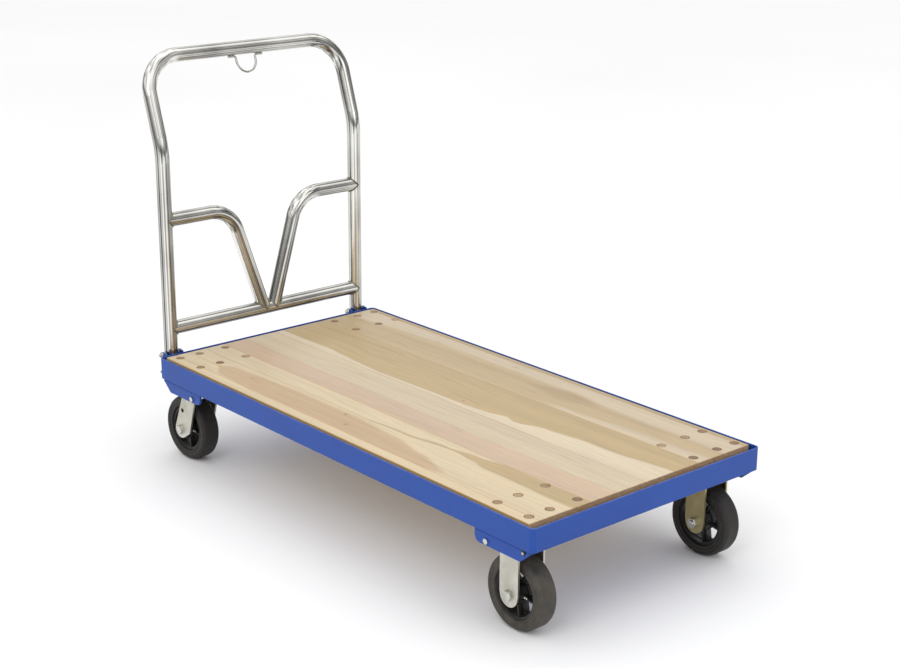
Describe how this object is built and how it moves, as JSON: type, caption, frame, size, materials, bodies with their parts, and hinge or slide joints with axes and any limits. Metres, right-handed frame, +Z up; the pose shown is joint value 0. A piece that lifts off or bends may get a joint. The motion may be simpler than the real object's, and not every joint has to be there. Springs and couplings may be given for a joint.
{
  "type": "flatbed platform truck",
  "caption": "Flatbed platform truck: plank deck in a blue steel angle frame, tubular push handle with bent braces, two rigid and two swivel casters.",
  "frame": {"origin": "middle of the truck's footprint, on the floor: bottom centre of the bounding box at rest", "axes": "+X lengthwise from the push handle towards the rigid casters, +Y to the truck's left, +Z up"},
  "size_m": [1.314, 0.6096, 0.9093],
  "materials": {
    "deck_wood": "satin clear coat",
    "plug_wood": "satin clear coat",
    "blue_paint": "semi-gloss enamel",
    "bright_tube": "bright plated",
    "zinc_plate": "dull zinc",
    "zinc_hardware": "bright zinc",
    "tyre_rubber": "matte",
    "hub_black": "black paint"
  },
  "bodies": {
    "truck": {"frame_ring": "blue_paint", "cross_plates": "blue_paint", "caster_pad_front_left": "blue_paint", "caster_pad_front_right": "blue_paint", "caster_pad_rear_left": "blue_paint", "caster_pad_rear_right": "blue_paint", "board_1": "deck_wood", "board_2": "deck_wood", "board_3": "deck_wood", "board_4": "deck_wood", "board_5": "deck_wood", "board_6": "deck_wood", "wood_plugs": "plug_wood", "deck_bolts": "zinc_hardware", "deck_washers": "zinc_hardware", "deck_nuts": "zinc_hardware", "lip_washers": "hub_black", "side_bolts": "zinc_hardware", "side_nuts": "zinc_hardware", "handle_hoop": "bright_tube", "handle_crossbar": "bright_tube", "handle_brace_left": "bright_tube", "handle_brace_right": "bright_tube", "handle_loop": "bright_tube", "post_socket_left": "blue_paint", "post_socket_right": "blue_paint", "post_bolts": "zinc_hardware", "post_nuts": "zinc_hardware", "post_spacers": "zinc_hardware", "rigid_yoke_left": "zinc_plate", "rigid_yoke_right": "zinc_plate", "rigid_axle_bolt": "zinc_hardware", "rigid_axle_nut": "zinc_hardware", "rigid_axle_sleeve": "zinc_hardware", "swivel_plate_left": "zinc_plate", "swivel_plate_right": "zinc_plate", "kingpins": "zinc_hardware", "kingpin_nuts": "zinc_hardware"},
    "swivel_left": {"swivel_yoke_left": "zinc_plate", "swivel_balls_left": "zinc_hardware", "swivel_axle_left_bolt": "zinc_hardware", "swivel_axle_left_nut": "zinc_hardware", "swivel_axle_left_sleeve": "zinc_hardware"},
    "swivel_right": {"swivel_yoke_right": "zinc_plate", "swivel_balls_right": "zinc_hardware", "swivel_axle_right_bolt": "zinc_hardware", "swivel_axle_right_nut": "zinc_hardware", "swivel_axle_right_sleeve": "zinc_hardware"},
    "wheel_front_left": {"tyre_front_left": "tyre_rubber", "hub_front_left": "hub_black", "bearing_front_left": "zinc_hardware"},
    "wheel_front_right": {"tyre_front_right": "tyre_rubber", "hub_front_right": "hub_black", "bearing_front_right": "zinc_hardware"},
    "wheel_rear_left": {"tyre_rear_left": "tyre_rubber", "hub_rear_left": "hub_black", "bearing_rear_left": "zinc_hardware"},
    "wheel_rear_right": {"tyre_rear_right": "tyre_rubber", "hub_rear_right": "hub_black", "bearing_rear_right": "zinc_hardware"}
  },
  "joints": [
    {"name": "swivel_left_turn", "type": "hinge", "parent": "truck", "child": "swivel_left", "pos_m": [-0.47961, 0.25, 0.17], "axis": [0, 0, 1], "continuous": true},
    {"name": "swivel_right_turn", "type": "hinge", "parent": "truck", "child": "swivel_right", "pos_m": [-0.47961, -0.25, 0.17], "axis": [0, 0, 1], "continuous": true},
    {"name": "wheel_front_left_roll", "type": "hinge", "parent": "truck", "child": "wheel_front_left", "pos_m": [0.57439, 0.25, 0.0735], "axis": [0, 1, 0], "continuous": true},
    {"name": "wheel_front_right_roll", "type": "hinge", "parent": "truck", "child": "wheel_front_right", "pos_m": [0.57439, -0.25, 0.0735], "axis": [0, 1, 0], "continuous": true},
    {"name": "wheel_rear_left_roll", "type": "hinge", "parent": "swivel_left", "child": "wheel_rear_left", "pos_m": [-0.51771, 0.25, 0.0735], "axis": [0, 1, 0], "continuous": true},
    {"name": "wheel_rear_right_roll", "type": "hinge", "parent": "swivel_right", "child": "wheel_rear_right", "pos_m": [-0.51766, -0.25199, 0.0735], "axis": [-0.0523, 0.9986, 0], "continuous": true}
  ]
}
